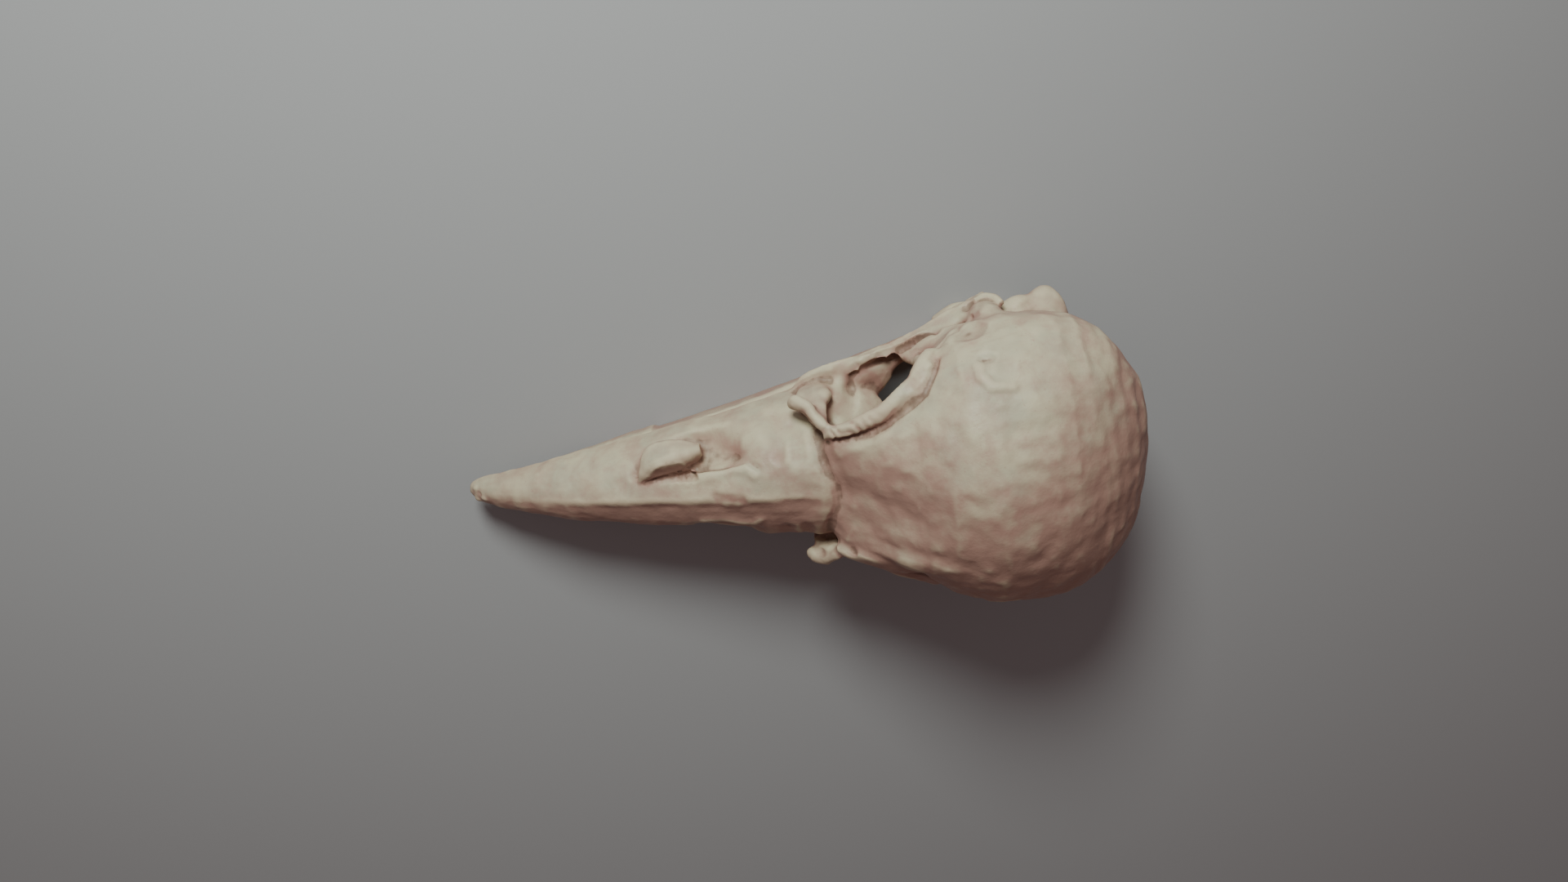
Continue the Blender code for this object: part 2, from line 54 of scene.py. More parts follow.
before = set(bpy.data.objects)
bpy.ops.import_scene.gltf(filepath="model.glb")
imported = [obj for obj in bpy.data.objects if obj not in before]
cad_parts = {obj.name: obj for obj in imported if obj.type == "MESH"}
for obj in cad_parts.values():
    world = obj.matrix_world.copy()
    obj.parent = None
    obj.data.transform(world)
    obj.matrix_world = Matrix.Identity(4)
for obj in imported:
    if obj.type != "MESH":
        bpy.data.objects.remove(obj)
CAD_BOX = [list(corner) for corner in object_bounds()]

MM = 0.001
# Most triangles that one bone may have
MOST_TRIANGLES = 198_000
# Share of the way that a point moves towards its neighbours in a round of smoothing, and back out
# again in the push that follows where the bone has to stay thick
PULL_IN = 0.5
PUSH_OUT = 0.52

# Skull measures: X runs back from the tip of the bill, Y to the bird's right and Z up, in
# millimetres. The frame's own seat tips that layout by this pitch and then moves it.
SEAT_PITCH = math.radians(-3.473903)
SEAT_SHIFT = (-55.00076, -0.00140, 1.52996)
SEAT = Matrix.Translation(Vector(SEAT_SHIFT) * MM) @ Matrix.Rotation(SEAT_PITCH, 4, "Y")
SEAT_TURN = np.array(SEAT.to_3x3())
SEAT_MOVE = np.array(SEAT.translation)

# Direction towards the key lamp, for the painted shade on the side of the skull that faces away from it,
# and rounds that soften the edge of that painted shade
LAMP_SIDE = (-0.09, 0.84, 0.53)
PAINTED_SHADE_ROUNDS = 4
# Rounds of smoothing that a hollow is measured against, and the depth in millimetres that counts
# as a full one there, then how strong each round is
HOLLOW_SCALES = ((6, 0.05), (24, 0.20), (80, 0.70))
HOLLOW_PULL = 0.8

# Bones that have grown into one in an adult bird, and those that stay apart
FUSED_NODES = (
    "upper_bill", "frontal", "interorbital_septum", "braincase", "lacrimal_right", "lacrimal_left",
    "jugal_bar_right", "jugal_bar_left", "palatine_right", "palatine_left",
)
JAW_NODES = ("mandible_symphysis", "mandible_ramus_right", "mandible_ramus_left")
LOOSE_BONES = ("pterygoid", "quadrate")
# Rounds of smoothing on the lower jaw and on the loose bones
JAW_SMOOTHING = 8
LOOSE_SMOOTHING = 6

# Soft lumps on each kind of bone: their sizes and heights in millimetres
SKULL_LUMPS = ((8.0, 0.38), (3.4, 0.24), (1.7, 0.09), (0.8, 0.025))
JAW_LUMPS = ((4.0, 0.10), (1.6, 0.06))
LOOSE_LUMPS = ((2.0, 0.06), (0.9, 0.03))
# Share of their height that the lumps have on the bill and the front of the forehead, and where
# along the skull they rise from that to their full height
FRONT_LUMP_SHARE = 0.85
LUMPS_RISE = (68.2, 70)

# Webs and plates that grow on both sides of the fused skull: what is up for the rod, and its
# stations of (x, y, z, half width, half height)
SOCKET_RODS = (
    # Web behind the hooked bone, and the fill from there to the floor of the socket
    ((1, 0, 0), ((60.8, 11.8, 17.2, 0.9, 1.6), (60.2, 12.7, 14.2, 1.0, 2.5), (60.2, 12.9, 10.6, 1.1, 2.9),
                 (60.8, 12.6, 7.4, 1.2, 2.9), (61.4, 12.0, 5.6, 1.1, 2.6))),
    ((1, 0, 0), ((64.4, 12.6, 6.6, 1.4, 1.4), (64.5, 11.2, 7.6, 1.5, 1.5), (64.5, 9.9, 8.6, 1.5, 1.5),
                 (64.3, 8.4, 9.8, 1.4, 1.4), (64.2, 7.4, 11.2, 1.4, 1.4), (63.9, 6.6, 13.0, 1.3, 1.3))),
    ((1, 0, 0), ((62.4, 12.6, 6.6, 1.4, 1.4), (62.5, 11.2, 7.6, 1.5, 1.5), (62.5, 9.9, 8.6, 1.5, 1.5),
                 (62.3, 8.4, 9.8, 1.4, 1.4))),
    # Floor of the socket, running out into the swollen middle of the palatine
    ((0, 0, 1), ((64.0, 12.2, 6.2, 1.8, 1.6), (67.0, 12.6, 5.0, 2.6, 1.7), (70.2, 13.2, 4.0, 3.2, 2.0),
                 (73.2, 14.4, 3.7, 2.4, 1.8), (75.4, 15.2, 3.6, 1.3, 1.3))),
    # Plate along the inner edge of the cheek bar, and the lobe that it ends in
    ((0, 0, 1), ((62.6, 10.4, 5.9, 1.4, 0.6), (64.2, 12.9, 6.1, 1.2, 0.55), (66.6, 15.0, 6.2, 1.1, 0.5),
                 (69.3, 16.5, 6.2, 1.0, 0.5), (74.0, 17.5, 6.1, 1.0, 0.5), (79.0, 19.3, 5.8, 1.0, 0.5),
                 (82.6, 20.2, 5.4, 0.8, 0.5))),
    ((0, 0, 1), ((75.4, 16.6, 5.4, 0.8, 0.8), (77.8, 17.6, 5.6, 1.5, 1.0), (80.6, 18.4, 6.2, 1.7, 1.2),
                 (83.4, 19.0, 6.6, 1.4, 1.2))),
    # Body of the socket's rim, against the forehead
    ((0, 0, 1), ((63.4, 10.8, 19.6, 1.2, 1.0), (66.0, 11.8, 20.4, 1.3, 1.1), (69.0, 13.1, 21.0, 1.3, 1.2),
                 (72.0, 14.7, 21.0, 1.4, 1.2), (74.4, 16.3, 20.4, 1.3, 1.2), (76.6, 18.3, 18.9, 1.2, 1.1),
                 (78.4, 20.2, 16.8, 0.8, 0.8))),
    # Outer slope of the rim
    ((0, 0, 1), ((63.6, 11.2, 20.2, 0.9, 0.7), (66.0, 11.7, 20.9, 1.0, 0.8), (68.7, 12.9, 21.4, 1.1, 0.8),
                 (70.9, 14.0, 21.5, 1.1, 0.8), (73.0, 15.2, 21.4, 1.1, 0.8), (75.1, 16.3, 21.1, 1.1, 0.8),
                 (77.0, 17.9, 20.5, 1.0, 0.8), (78.4, 19.9, 18.7, 0.9, 0.8))),
    # Neck from the palatine's rear end up to the rear end of the rim
    ((1, 0, 0), ((75.6, 15.6, 5.0, 1.0, 1.0), (76.4, 16.2, 8.0, 1.1, 1.1), (77.0, 17.0, 11.0, 1.1, 1.1),
                 (77.8, 19.0, 14.5, 1.0, 1.0), (78.6, 20.6, 16.6, 0.9, 0.9))),
    # Rear end of the cheek bar, and the lip around the flap over the jaw's hinge
    ((0, 0, 1), ((81.0, 18.4, 5.2, 0.9, 0.9), (83.2, 19.2, 5.2, 1.2, 1.1), (84.8, 20.3, 5.1, 1.2, 1.1),
                 (86.2, 21.7, 5.0, 1.0, 1.0))),
    ((0, 0, 1), ((82.4, 20.0, 4.4, 0.9, 0.8), (84.6, 20.2, 4.4, 1.1, 0.9), (87.2, 20.9, 4.0, 0.9, 0.9))),
    ((0, 1, 0), ((87.6, 22.9, 3.8, 0.8, 0.8), (89.4, 23.2, 2.9, 0.9, 0.9), (91.0, 23.0, 3.8, 0.9, 0.9),
                 (91.8, 22.7, 5.8, 0.7, 0.7))),
)
# Claw that curls over the front of the right nostril, and its crest
CLAW = (
    (30.9, 3.1, 14.0, 0.35, 0.4), (32.0, 4.6, 13.9, 1.5, 1.7), (33.6, 5.9, 13.8, 2.4, 2.5),
    (35.6, 6.7, 13.6, 2.9, 2.9), (38.0, 7.0, 13.4, 2.8, 2.9), (40.0, 7.1, 13.0, 2.2, 2.5),
    (42.0, 7.3, 12.8, 1.1, 1.6),
)
CLAW_CREST = (
    (31.6, 4.2, 14.3, 0.7, 0.8), (33.0, 5.9, 14.2, 1.6, 1.9), (35.0, 6.9, 14.2, 2.1, 2.7),
    (37.6, 7.4, 14.0, 2.2, 2.7), (39.8, 7.5, 13.6, 1.8, 2.2), (41.8, 7.6, 13.2, 1.0, 1.4),
)
# Low swelling between the forehead and the rim of the left socket
LEFT_BROW = (
    (64.0, -10.2, 20.4, 1.4, 0.8), (66.5, -10.9, 21.2, 1.6, 1.0), (69.5, -12.0, 22.1, 1.8, 1.2),
    (72.5, -13.1, 22.7, 1.6, 1.1), (74.5, -14.0, 22.6, 1.2, 0.9),
)
# Ragged inner edge of the cheek bar, with the first place and the pitch of its teeth, how far each
# strays, its half length, how wide it is for that length, and its half height
CHEEK_EDGE = (
    (62.9, 8.4, 6.2), (63.6, 10.2, 6.3), (64.8, 12.5, 6.4), (66.8, 14.5, 6.5), (69.2, 15.9, 6.5),
    (71.6, 16.4, 6.5), (74.0, 16.8, 6.4), (76.6, 17.8, 6.2), (79.3, 18.7, 6.0), (82.0, 19.3, 5.8),
)
TOOTH_START = 0.4
TOOTH_PITCH = 0.95
TOOTH_STRAY = ((-0.25, -0.3, -0.15), (0.25, 0.45, 0.15))
TOOTH_SIZE = (0.5, 1.0)
TOOTH_WIDTH_SHARE = 0.8
TOOTH_HEIGHT = 0.45
# Places to smooth: centre, reach along each axis, and rounds up to SOFTENING_ROUNDS. A place on the
# bird's left is smoothed on that side alone, every other one on both sides.
SOFTENING_ROUNDS = 120
SOFT_SPOTS = (
    # Rear of the nostril, and the side of the bill behind it
    ((49.5, 9.0, 12.4), (5.6, 3.3, 4.0), 110),
    ((51.0, 8.9, 15.0), (5.0, 3.4, 4.0), 120),
    # Knob behind the jaw's hinge
    ((98.2, 21.4, 6.2), (5.0, 4.0, 6.0), 24),
    # Join of the forehead and the braincase
    ((85.3, 0.0, 33.0), (5.0, 14.0, 10.0), 24),
    # Brow of the left socket
    ((70.0, -12.6, 22.4), (9.0, 2.6, 4.0), 24),
    # Lower edge of the nostril
    ((43.5, 9.4, 10.6), (5.0, 1.8, 2.6), 24),
    # Floor of the socket, and its corner with the hooked bone's web
    ((64.4, 10.6, 9.0), (3.2, 4.2, 4.2), 40),
    ((63.0, 12.0, 11.6), (3.2, 3.6, 5.5), 30),
    # Rear end of the cheek bar
    ((84.0, 20.6, 6.0), (4.2, 2.6, 3.0), 30),
)
# Crest of the right socket's rim
RIM_CREST = (
    (62.8, 10.9, 20.4), (65.3, 11.8, 21.2), (68.6, 13.2, 22.0), (71.4, 14.8, 22.0), (73.6, 16.6, 21.2),
    (76.3, 18.5, 19.9), (77.9, 20.1, 18.0), (79.0, 20.9, 16.2),
)

# Strokes that finish the fused skull: points on the surface, reach, depth (below zero sinks) and
# whether the left side has the same stroke
SKULL_STROKES = (
    # Crease of the bill's hinge, the soft valley behind it, and its run up the forehead
    (((60.3, 9.6, 15.6), (60.5, 8.2, 17.4), (60.7, 5.6, 19.4), (61.2, 4.0, 19.9), (62.0, 2.0, 20.8),
      (62.2, 0, 21.1)), 1.0, -0.32, True),
    (((60.9, 9.2, 16.6), (61.4, 6.5, 19.4), (62.4, 4.0, 21.0), (63.0, 0, 21.8)), 2.6, -0.38, True),
    (((62.8, 1.5, 21.4), (64.7, 1.3, 22.8), (67.7, 1.0, 25.0)), 3.2, -0.25, False),
    # Crease between the rim of the socket and the forehead
    (((62.9, 9.8, 20.0), (65.7, 10.5, 20.9), (68.0, 11.3, 21.6), (71.2, 12.7, 22.0), (73.1, 13.9, 22.2),
      (74.9, 15.0, 22.1), (76.9, 16.7, 22.2), (78.6, 18.9, 20.6), (79.4, 20.4, 18.6)), 0.8, -0.55, False),
    # Fuller crest of the rim
    (RIM_CREST, 1.7, 0.15, False),
    # Edge of the braincase behind the socket, down to the hinge of the jaw
    (((79.3, 20.4, 15.4), (80.3, 20.6, 14.8), (81.8, 21.2, 14.4), (83.4, 21.8, 12.8), (85.0, 21.9, 10.6),
      (86.4, 22.0, 8.2)), 0.8, -0.7, True),
    # Undercut beside the ragged plate
    (((75.4, 17.0, 6.1), (76.5, 17.5, 6.2), (77.6, 18.1, 6.6), (78.6, 18.7, 6.8), (79.6, 19.2, 7.0),
      (80.4, 19.8, 7.4), (81.0, 20.4, 8.8)), 0.9, -1.4, True),
    # Corner between the hooked bone's web and the floor of the socket
    (((62.9, 13.0, 11.0), (62.8, 11.6, 10.4), (62.7, 10.3, 9.9), (62.7, 8.8, 10.4)), 1.9, 1.0, True),
    # Furrow across the floor of the socket
    (((67.2, 14.0, 6.0), (67.0, 12.6, 6.6), (66.8, 11.2, 7.4), (66.6, 9.9, 9.0)), 1.3, -0.45, True),
    # Creases above, before and below the claw
    (((30.8, 3.0, 13.9), (32.6, 3.7, 14.3), (35.0, 4.3, 14.8), (38.0, 4.8, 15.0), (40.4, 5.1, 14.9)),
     0.6, -0.55, False),
    (((30.6, 4.6, 13.6), (31.2, 6.4, 13.0), (32.0, 8.2, 11.6)), 1.3, -0.8, False),
    (((33.4, 9.4, 9.8), (36.0, 10.0, 9.6), (39.0, 10.0, 9.8)), 1.1, -0.35, False),
    # Soft furrows on the side of the bill
    (((49.0, 10.3, 11.5), (50.0, 9.9, 13.0), (50.6, 9.2, 14.6)), 1.6, -0.40, True),
    (((53.4, 10.6, 11.6), (53.5, 9.8, 14.4), (53.8, 8.6, 16.0), (54.0, 6.5, 17.6)), 1.6, -0.42, True),
    (((56.6, 10.0, 14.0), (57.0, 8.6, 16.2), (57.0, 6.4, 18.2)), 1.7, -0.38, True),
    # Overhang of the bill's ridge behind the claw: its crease, the crease's rear end, and its lip
    (((40.4, 5.1, 14.9), (43.3, 4.6, 15.2), (45.2, 5.0, 15.6), (46.6, 5.9, 15.9)), 0.7, -0.4, True),
    (((46.6, 5.9, 15.9), (48.6, 6.2, 16.6), (50.4, 5.2, 17.4)), 0.8, -0.3, False),
    (((40.6, 4.0, 15.6), (43.5, 3.8, 15.9), (46.5, 4.8, 16.5), (48.6, 5.0, 17.1), (49.9, 4.1, 17.5)),
     1.2, 0.25, True),
    # Slot beside the crest of the bill, and the nub next to it
    (((43.3, 0.9, 17.1), (45.4, 0.7, 17.6), (47.6, 0.5, 18.0)), 1.2, -0.27, False),
    (((45.0, -0.6, 17.5), (46.4, -0.7, 17.8)), 1.3, 0.16, False),
    # Floor of the nostril raised behind the claw, and its rear edge brought down to the bill
    (((45.5, 8.4, 12.8), (48.5, 8.8, 13.0), (51.0, 9.0, 13.4)), 3.6, 0.95, True),
    (((49.4, 7.6, 14.6), (51.2, 8.2, 15.2)), 3.0, 0.8, True),
    (((49.2, 8.4, 13.4), (50.8, 8.4, 14.6)), 3.4, 0.5, True),
    (((50.6, 8.9, 15.0), (51.2, 9.3, 14.8)), 2.8, -0.50, True),
    (((46.9, 7.6, 12.4), (48.2, 7.2, 14.0), (48.9, 8.4, 13.6)), 2.6, 0.45, True),
    # Dimple and curved ridge on the side of the braincase
    (((85.4, 21.6, 23.0), (86.2, 21.6, 23.1)), 1.3, -0.55, True),
    (((84.5, 20.8, 23.9), (84.6, 19.8, 25.3), (85.9, 18.8, 26.9), (88.6, 18.6, 27.3)), 1.2, 0.32, True),
    # Line of the jaw muscle across the left of the braincase, and the knob on it
    (((69.7, -7.1, 25.3), (73.9, -6.7, 28.7), (77.5, -7.4, 30.8), (81.1, -8.2, 32.2)), 2.0, -0.2, False),
    (((83.4, -8.7, 32.6), (83.8, -8.8, 32.6)), 0.9, 0.14, False),
    (((85.7, -10.4, 32.4), (89.2, -12.3, 31.5)), 2.0, -0.14, False),
    # Soft furrow of the forehead
    (((70.1, 5.2, 26.4), (73.5, 5.1, 29.0)), 2.4, -0.2, False),
    # Slimmer rear and top of the knob behind the jaw's hinge
    (((103.2, 21.0, 1.5), (103.4, 20.0, 3.0), (103.6, 18.4, 4.4)), 4.5, -0.9, True),
    (((96.8, 21.5, 4.6), (98.4, 21.7, 4.4), (100.2, 21.6, 4.6), (101.4, 20.8, 5.0)), 1.9, -0.5, True),
    # Knobs at the tip of the bill, and the pit between them
    (((1.3, 1.0, 4.4), (1.6, 1.1, 4.6)), 0.8, 0.25, True),
    (((2.7, -0.4, 5.8), (3.1, -0.5, 6.0)), 0.7, 0.22, False),
    (((2.0, 0.4, 5.4), (2.3, 0.2, 5.6)), 0.5, -0.2, False),
)

# Stretches of the skull that are reshaped, in millimetres: where each starts, is in full, starts to
# fade, and ends. The first three run along the skull and the last one across it.
FOREHEAD_STRETCH = (60, 66, 72, 80)
SHOULDER_STRETCH = (60, 64, 70, 76)
BILL_STRETCH = (5, 26, 54, 61)
LEFT_SHELF_STRETCH = (-13.5, -10.5, -9, -3)
# Swells across the forehead between the sockets: middle, width and height in millimetres
FOREHEAD_HOLLOW = (-0.5, 5.5, -1.5)
LEFT_RIDGE = (-10.0, 2.2, 1.3)
LEFT_SHELF_HEIGHT = 0.5
# Shoulder beside the right socket, which draws away from the middle towards the back
SHOULDER_START = (64, 8.8)
SHOULDER_SLANT = 0.38
SHOULDER_WIDTH = 1.5
SHOULDER_HEIGHT = 0.7
# Crest of the bill: where it runs, its height, how fast each side falls, how blunt it is, and how
# far the bill beside it sinks
CREST_MIDDLE = 0.5
CREST_HEIGHT = 1.2
CREST_FALL_LEFT = 1.5
CREST_FALL_RIGHT = 2.4
CREST_BLUNTNESS = 0.3
CREST_SINK = 0.3
# Slanting inner face of the claw: the line along the bill that it starts from, its height on that
# line, how steeply it rises from there towards the bird's right, and the claw's corners in X and Y
FACET_ALONG = (31, 35, 38, 41)
FACET_ACROSS = (3.2, 4.1, 4.6, 5.1)
FACET_HEIGHT = 14.6
FACET_SLOPE = 0.6
CLAW_LOW = (31, 3.6)
CLAW_HIGH = (40.5, 8.2)

# Wrinkles across the rim of the right socket, and ridges round the back of the braincase
WRINKLE_HEIGHT = 0.16
WRINKLE_PITCH = 1.9
WRINKLE_REACH = 1.9
RIPPLE_HEIGHT = 0.04
RIPPLE_PITCH = 2.3

# Camera, lamp, room and floor: places and widths in millimetres, and the camera's turn about X, Y
# and Z in degrees
CAMERA_PLACE = (-5.675, 86.173, 168.054)
CAMERA_TURN = (-27.300, -5.505, -7.063)
LAMP_PLACE = (-30, 252, 180)
LAMP_AIM = (0, 0, 20)
LAMP_WIDTH = 95
LAMP_COLOUR = (0.95, 1.0, 0.93)
ROOM_COLOUR = (1.0, 0.76, 0.73)
FLOOR_HALF_WIDTH = 1500


class RavenBoneSettings(bpy.types.PropertyGroup):
    """Fineness and colours of the bone."""

    skull_grain: FloatProperty(
        name="Skull Grain", description="Size of the faces on the fused skull",
        default=0.32 * MM, min=0.2 * MM, max=1.0 * MM, subtype="DISTANCE", unit="LENGTH", precision=5,
    )
    jaw_grain: FloatProperty(
        name="Jaw Grain", description="Size of the faces on the lower jaw",
        default=0.34 * MM, min=0.2 * MM, max=1.0 * MM, subtype="DISTANCE", unit="LENGTH", precision=5,
    )
    small_grain: FloatProperty(
        name="Small Bone Grain", description="Size of the faces on the small bones",
        default=0.26 * MM, min=0.15 * MM, max=1.0 * MM, subtype="DISTANCE", unit="LENGTH", precision=5,
    )
    gap_closing: FloatProperty(
        name="Gap Closing", description="How far the fused parts grow to close the frame's thin cuts",
        default=0.28 * MM, min=0.15 * MM, max=0.5 * MM, subtype="DISTANCE", unit="LENGTH", precision=5,
    )
    smoothing: IntProperty(
        name="Smoothing", description="Rounds of smoothing on the fused skull", default=9, min=0, max=60,
    )
    cream: FloatVectorProperty(
        name="Cream Bone", description="Clean bone", subtype="COLOR", size=3, min=0.0, max=1.0,
        default=(0.575, 0.525, 0.37),
    )
    grey: FloatVectorProperty(
        name="Grey Bone", description="Weathered, slightly green bone", subtype="COLOR", size=3,
        min=0.0, max=1.0, default=(0.485, 0.465, 0.34),
    )
    # Pinkish brown of the random stains, and also of the painted shade on the side away from the lamp and
    # in the hollows
    pink_stain_and_shade: FloatVectorProperty(
        name="Pink Stain and Shade", description="Pinkish brown stain", subtype="COLOR", size=3,
        min=0.0, max=1.0, default=(0.42, 0.247, 0.203),
    )
    # Painted dark brown shade at the bottom of hollows and seams
    hollow_shade: FloatVectorProperty(
        name="Painted Hollow Shade", description="Dark brown left in hollows and seams", subtype="COLOR",
        size=3, min=0.0, max=1.0, default=(0.10, 0.055, 0.035),
    )
    # Mottling roughens the edge of the painted shade on the side away from the lamp
    mottling: FloatProperty(
        name="Mottling", description="How ragged the edge of the pinkish stain is",
        default=0.30, min=0.0, max=1.0, subtype="FACTOR",
    )
    # Painted highlight on the ridges: how much lighter than the cream it is
    ridge_highlight: FloatProperty(
        name="Painted Ridge Highlight", description="How much lighter than the cream the worn ridges are",
        default=1.18, min=1.0, max=1.6, subtype="FACTOR",
    )


class RavenStageSettings(bpy.types.PropertyGroup):
    """Camera, floor and lights."""

    lens: FloatProperty(
        name="Lens", description="Focal length on a 36 mm sensor", default=24.45, min=10, max=200,
        unit="CAMERA",
    )
    key_power: FloatProperty(
        name="Key Light", description="Power of the soft lamp on the bird's right", default=0.90,
        min=0, unit="POWER",
    )
    room_light: FloatProperty(
        name="Room Light", description="Strength of the warm light from all around",
        default=0.162, min=0,
    )
    floor_colour: FloatVectorProperty(
        name="Floor", description="Colour of the pale floor", subtype="COLOR", size=3, min=0.0,
        max=1.0, default=(0.41, 0.42, 0.44),
    )


def to_skull(points):
    """The frame's metres to skull measures in millimetres."""
    return (np.asarray(points, float) - SEAT_MOVE) @ SEAT_TURN / MM


def read_points(mesh):
    points = np.empty(len(mesh.vertices) * 3)
    mesh.vertices.foreach_get("co", points)
    return points.reshape(-1, 3)


def write_points(mesh, points):
    mesh.vertices.foreach_set("co", np.ascontiguousarray(points, dtype=np.float32).ravel())
    mesh.update()


def read_normals(mesh):
    normals = np.empty(len(mesh.vertices) * 3)
    mesh.vertex_normals.foreach_get("vector", normals)
    return normals.reshape(-1, 3)


def add_object(name, bm):
    """Turn bm into an object of the scene."""
    mesh = bpy.data.meshes.new(name)
    bm.to_mesh(mesh)
    bm.free()
    item = bpy.data.objects.new(name, mesh)
    bpy.context.scene.collection.objects.link(item)
    return item


def settle(item):
    """Replace the object's mesh by what its modifiers make of it."""
    graph = bpy.context.evaluated_depsgraph_get()
    mesh = bpy.data.meshes.new_from_object(item.evaluated_get(graph), depsgraph=graph)
    item.modifiers.clear()
    old = item.data
    item.data = mesh
    bpy.data.meshes.remove(old)


def add_frame_bone(bm, node, growth=0.0):
    """Add a merged copy of a frame node to bm, grown outwards by growth."""
    copy = bmesh.new()
    copy.from_mesh(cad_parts[node].data)
    bmesh.ops.remove_doubles(copy, verts=copy.verts[:], dist=1e-6)
    bmesh.ops.recalc_face_normals(copy, faces=copy.faces[:])
    copy.normal_update()
    for vert, normal in [(vert, vert.normal.copy()) for vert in copy.verts]:
        vert.co += normal * growth
    mesh = bpy.data.meshes.new("copy")
    copy.to_mesh(mesh)
    copy.free()
    bm.from_mesh(mesh)
    bpy.data.meshes.remove(mesh)


def remesh(item, grain):
    """Merge what overlaps into one surface with faces of this size."""
    modifier = item.modifiers.new("grow together", "REMESH")
    modifier.mode = "VOXEL"
    modifier.voxel_size = grain
    settle(item)


def keep_largest(item):
    """Drop every closed surface but the largest."""
    bm = bmesh.new()
    bm.from_mesh(item.data)
    left = set(bm.verts)
    groups = []
    while left:
        seed = left.pop()
        group = [seed]
        queue = [seed]
        while queue:
            for edge in queue.pop().link_edges:
                for vert in edge.verts:
                    if vert in left:
                        left.remove(vert)
                        group.append(vert)
                        queue.append(vert)
        groups.append(group)
    groups.sort(key=len, reverse=True)
    for group in groups[1:]:
        bmesh.ops.delete(bm, geom=group, context="VERTS")
    bm.to_mesh(item.data)
    bm.free()


def edge_array(mesh):
    """Both ends of every edge, and how many neighbours each vertex has."""
    edges = np.empty(len(mesh.edges) * 2, dtype=np.int64)
    mesh.edges.foreach_get("vertices", edges)
    counts = np.maximum(np.bincount(edges, minlength=len(mesh.vertices)), 1)
    return edges.reshape(-1, 2), counts


def neighbour_mean(values, edges, counts):
    """Mean of each vertex's neighbours, for an array with one row a vertex."""
    out = np.empty_like(values)
    for k in range(values.shape[1]):
        total = np.bincount(edges[:, 0], values[edges[:, 1], k], len(values))
        total += np.bincount(edges[:, 1], values[edges[:, 0], k], len(values))
        out[:, k] = total / counts
    return out


def soft_step(values, low, high):
    """0 to 1 between low and high, with soft ends."""
    t = np.clip((values - low) / (high - low), 0, 1)
    return t * t * (3 - 2 * t)


def stretch(values, start, full, fade, end):
    """1 between full and fade, and softly down to 0 at start and end."""
    return soft_step(values, start, full) * soft_step(-values, -end, -fade)


def bell(values, middle, width, height):
    """Soft swell of this height around the middle."""
    return height * np.exp(-((values - middle) / width) ** 2)


def relax(item, rounds, keep_volume=True, mask=None):
    """Smooth the surface. A push out after each pull in keeps thin bone thick."""
    mesh = item.data
    points = read_points(mesh)
    edges, counts = edge_array(mesh)
    weight = 1.0 if mask is None else mask[:, None]
    for _ in range(rounds):
        points += PULL_IN * weight * (neighbour_mean(points, edges, counts) - points)
        if keep_volume:
            points -= PUSH_OUT * weight * (neighbour_mean(points, edges, counts) - points)
    write_points(mesh, points)


def thin_out(item):
    """Collapse the flattest places of a surface that has too many triangles."""
    triangles = sum(len(face.vertices) - 2 for face in item.data.polygons)
    if triangles > MOST_TRIANGLES:
        modifier = item.modifiers.new("thin out", "DECIMATE")
        modifier.ratio = MOST_TRIANGLES / triangles
        settle(item)


def grow(item, amount):
    """Move the surface outwards."""
    points = read_points(item.data)
    write_points(item.data, points + read_normals(item.data) * amount)


def ball(name, centre, radii):
    """Return a ball with this centre and these radii in skull measures."""
    size = Matrix.Diagonal((*(radius * MM for radius in radii), 1))
    place = SEAT @ Matrix.Translation(Vector(centre) * MM) @ size
    bm = bmesh.new()
    bmesh.ops.create_icosphere(bm, subdivisions=3, radius=1.0, matrix=place)
    return add_object(name, bm)


def path_travel(points):
    """Distance along a path at each of its points."""
    steps = np.linalg.norm(np.diff(points, axis=0), axis=1)
    return np.concatenate([[0], np.cumsum(steps)])


def rod(name, stations, upright=(0, 0, 1), steps=14, points=14, mirror=False):
    """Return a closed rod through stations of (x, y, z, half width, half height)."""
    data = np.array(stations, float)
    if mirror:
        data[:, 1] *= -1
    travel = path_travel(data[:, :3])
    reaches = np.linspace(0, travel[-1], steps)
    samples = np.array([np.interp(reaches, travel, column) for column in data.T]).T
    bm = bmesh.new()
    ring = bmesh.ops.create_circle(bm, segments=points, radius=1.0)["verts"]
    rim = bm.edges[:]
    for i, sample in enumerate(samples):
        tangent = Vector(samples[min(i + 1, steps - 1)][:3] - samples[max(i - 1, 0)][:3]).normalized()
        side = tangent.cross(Vector(upright)).normalized()
        rise = side.cross(tangent)
        if i:
            grown = bmesh.ops.extrude_edge_only(bm, edges=rim)["geom"]
            rim = [g for g in grown if isinstance(g, bmesh.types.BMEdge) and len(g.link_faces) == 1]
            fresh = {g for g in grown if isinstance(g, bmesh.types.BMVert)}
            ring = [next(e.other_vert(v) for e in v.link_edges if e.other_vert(v) in fresh) for v in ring]
        for k, vert in enumerate(ring):
            angle = 2 * math.pi * k / points
            across = side * (sample[3] * math.cos(angle))
            upwards = rise * (sample[4] * math.sin(angle))
            vert.co = SEAT @ ((Vector(sample[:3]) + across + upwards) * MM)
    bmesh.ops.holes_fill(bm, edges=[edge for edge in bm.edges if edge.is_boundary], sides=0)
    bmesh.ops.recalc_face_normals(bm, faces=bm.faces[:])
    return add_object(name, bm)


def reach_to_path(points, path):
    """Distance in skull measures from each point to a path of straight stretches."""
    path = np.array(path, float)
    best = np.full(len(points), np.inf)
    for start, end in zip(path[:-1], path[1:]):
        along = end - start
        t = np.clip((points - start) @ along / (along @ along), 0, 1)
        best = np.minimum(best, np.linalg.norm(points - start - t[:, None] * along, axis=1))
    return best


